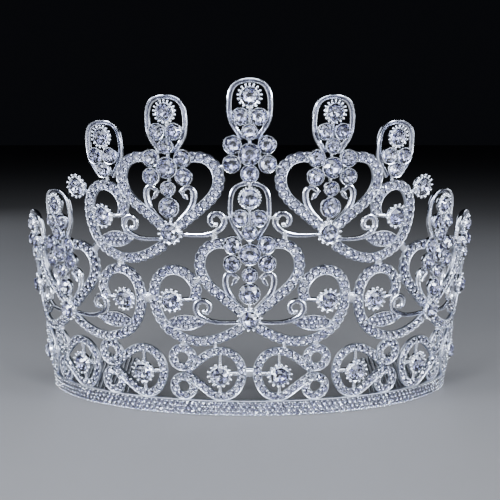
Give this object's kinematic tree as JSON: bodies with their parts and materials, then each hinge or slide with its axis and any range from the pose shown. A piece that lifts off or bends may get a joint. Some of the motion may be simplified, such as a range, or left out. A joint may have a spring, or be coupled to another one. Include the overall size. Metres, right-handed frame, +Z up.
{
  "type": "pageant crown",
  "caption": "Open-backed pageant crown of pierced silver-tone scrolls and hearts, set with clear stones, with two inner side combs.",
  "frame": {"origin": "middle of the base plane, half way from the front stones to the combs' tips, on the plane of symmetry", "axes": "+Z up; -Y to the crown's front; +X to the right as seen from the front"},
  "size_m": [0.1636, 0.0858, 0.1128],
  "materials": {
    "silver_metal": "polished silver-tone plating",
    "comb_metal": "bright plated wire",
    "crystal": "clear cut stone with a silvered back"
  },
  "bodies": {
    "root": {"frame": "silver_metal", "comb_left": "comb_metal", "comb_right": "comb_metal", "core_stone_centre_heart": "crystal", "crest_stone_centre_heart": "crystal", "base_stone_centre_heart": "crystal", "foot_stone_centre_heart": "crystal", "core_stone_top": "crystal", "crest_stone_top": "crystal", "base_stone_top": "crystal", "core_stone_upper_heart_left": "crystal", "crest_stone_upper_heart_left": "crystal", "base_stone_upper_heart_left": "crystal", "foot_stone_upper_heart_left": "crystal", "core_stone_side_heart_left": "crystal", "crest_stone_side_heart_left": "crystal", "base_stone_side_heart_left": "crystal", "foot_stone_side_heart_left": "crystal", "crest_stone_peak_left": "crystal", "crest_stone_finial_left": "crystal", "scroll_stone_1_left": "crystal", "scroll_stone_2_left": "crystal", "scroll_stone_3_left": "crystal", "scroll_stone_4_left": "crystal", "tip_stone_left": "crystal", "core_stone_upper_heart_right": "crystal", "crest_stone_upper_heart_right": "crystal", "base_stone_upper_heart_right": "crystal", "foot_stone_upper_heart_right": "crystal", "core_stone_side_heart_right": "crystal", "crest_stone_side_heart_right": "crystal", "base_stone_side_heart_right": "crystal", "foot_stone_side_heart_right": "crystal", "crest_stone_peak_right": "crystal", "crest_stone_finial_right": "crystal", "scroll_stone_1_right": "crystal", "scroll_stone_2_right": "crystal", "scroll_stone_3_right": "crystal", "scroll_stone_4_right": "crystal", "tip_stone_right": "crystal", "accent_stones_middle": "crystal", "accent_stones_left": "crystal", "accent_stones_right": "crystal", "gallery_stones": "crystal"}
  },
  "joints": []
}
